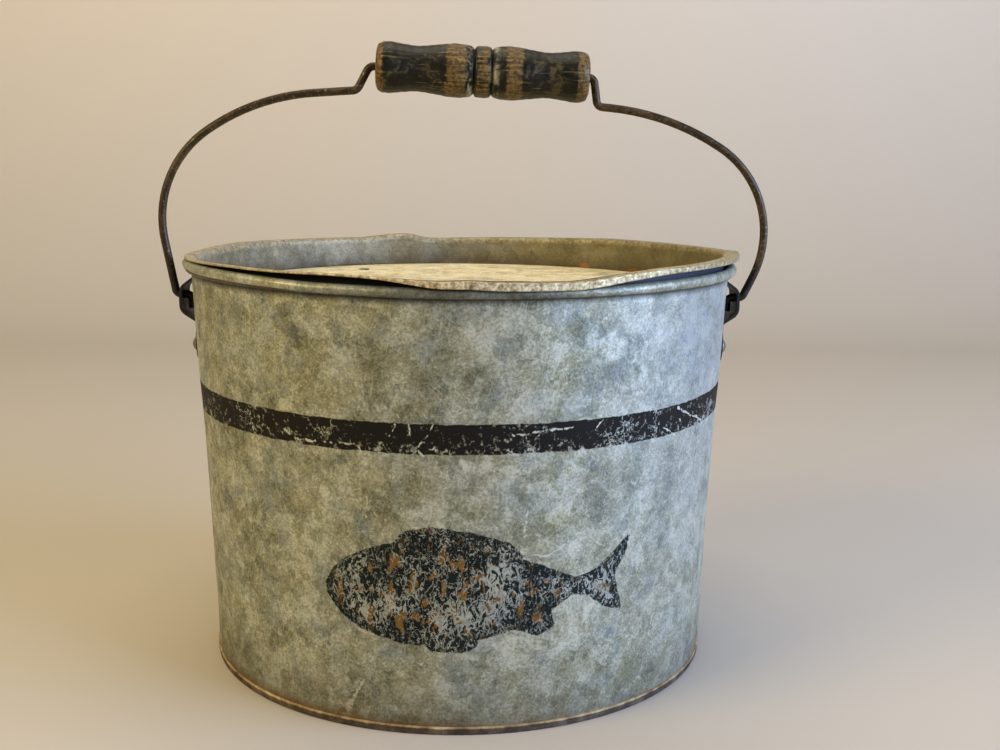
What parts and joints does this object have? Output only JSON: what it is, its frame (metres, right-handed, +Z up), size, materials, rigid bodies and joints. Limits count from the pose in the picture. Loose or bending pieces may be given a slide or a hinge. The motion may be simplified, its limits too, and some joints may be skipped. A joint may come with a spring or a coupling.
{
  "type": "minnow bucket",
  "caption": "Round galvanised live-bait pail with a wooden-grip wire bail and a floating inner bucket that has a recessed deck, a hinged door and a perforated basket.",
  "frame": {"origin": "centre of the pail's base, on the floor that it stands on, under the middle of the bail's spread", "axes": "+Z up; +X along the bail's pivots, to the right in the picture; -Y towards the viewer, the side with the painted decoration; the lock seam of the wall and the hinged end of the door face +Y"},
  "size_m": [0.2932, 0.262, 0.2894],
  "materials": {
    "weathered_galvanised_wall": "mottled weathered zinc over sheet steel, with a painted stripe",
    "rim_wire_steel": "drawn steel wire",
    "rusty_galvanised_bottom": "zinc worn to brown rust at the chime",
    "dark_ear_steel": "blackened steel, worn at the edges",
    "rivet_steel": "dull steel rivets",
    "rusty_bail_wire": "brown rusted wire, rubbed bright in places",
    "worn_painted_wood": "black paint worn through to ochre brown wood",
    "weathered_galvanised_collar": "weathered zinc, scuffed hem",
    "pale_zinc_deck": "pale bright zinc with rust specks",
    "inner_galvanised_sheet": "dull zinc",
    "perforated_galvanised_sheet": "dull zinc, punched",
    "hinge_steel": "zinc plated steel",
    "galvanised_door": "pale zinc",
    "spring_steel": "spring strip",
    "plain_bail_wire": "galvanised wire"
  },
  "bodies": {
    "pail": {"pail_wall": "weathered_galvanised_wall", "rim_wire": "rim_wire_steel", "pail_bottom": "rusty_galvanised_bottom", "ear_right": "dark_ear_steel", "ear_left": "dark_ear_steel", "ear_rivets_right": "rivet_steel", "ear_rivets_left": "rivet_steel"},
    "bail": {"bail_wire": "rusty_bail_wire"},
    "grip": {"wood_grip": "worn_painted_wood"},
    "insert": {"insert_collar": "weathered_galvanised_collar", "deck_plate": "pale_zinc_deck", "float_throat": "inner_galvanised_sheet", "float_floor": "inner_galvanised_sheet", "basket_wall": "perforated_galvanised_sheet", "basket_bottom": "perforated_galvanised_sheet", "deck_hinge_leaf": "hinge_steel", "deck_hinge_rivets": "rivet_steel", "hinge_pin": "hinge_steel", "bail_lug_right": "hinge_steel", "bail_lug_left": "hinge_steel", "bail_lug_rivets": "rivet_steel"},
    "door": {"door_panel": "galvanised_door", "door_hinge_leaf": "hinge_steel", "door_hinge_rivets": "rivet_steel", "door_catch": "spring_steel"},
    "insert_bail": {"insert_bail_wire": "plain_bail_wire"}
  },
  "joints": [
    {"name": "bail_swing", "type": "hinge", "parent": "pail", "child": "bail", "pos_m": [0, 0, 0.17], "axis": [1, 0, 0], "range_deg": [-70, 20]},
    {"name": "grip_spin", "type": "hinge", "parent": "bail", "child": "grip", "pos_m": [0.0096, 0, 0.2759], "axis": [0.9992, 0, -0.0398], "continuous": true},
    {"name": "insert_lift", "type": "slide", "parent": "pail", "child": "insert", "axis": [0, 0, 1], "range_m": [0, 0.036]},
    {"name": "door_swing", "type": "hinge", "parent": "insert", "child": "door", "pos_m": [0, -0.008, 0.17635], "axis": [-1, 0, 0], "range_deg": [0, 165]},
    {"name": "insert_bail_swing", "type": "hinge", "parent": "insert", "child": "insert_bail", "pos_m": [0, 0, 0.1787], "axis": [-1, 0, 0], "range_deg": [0, 180]}
  ]
}
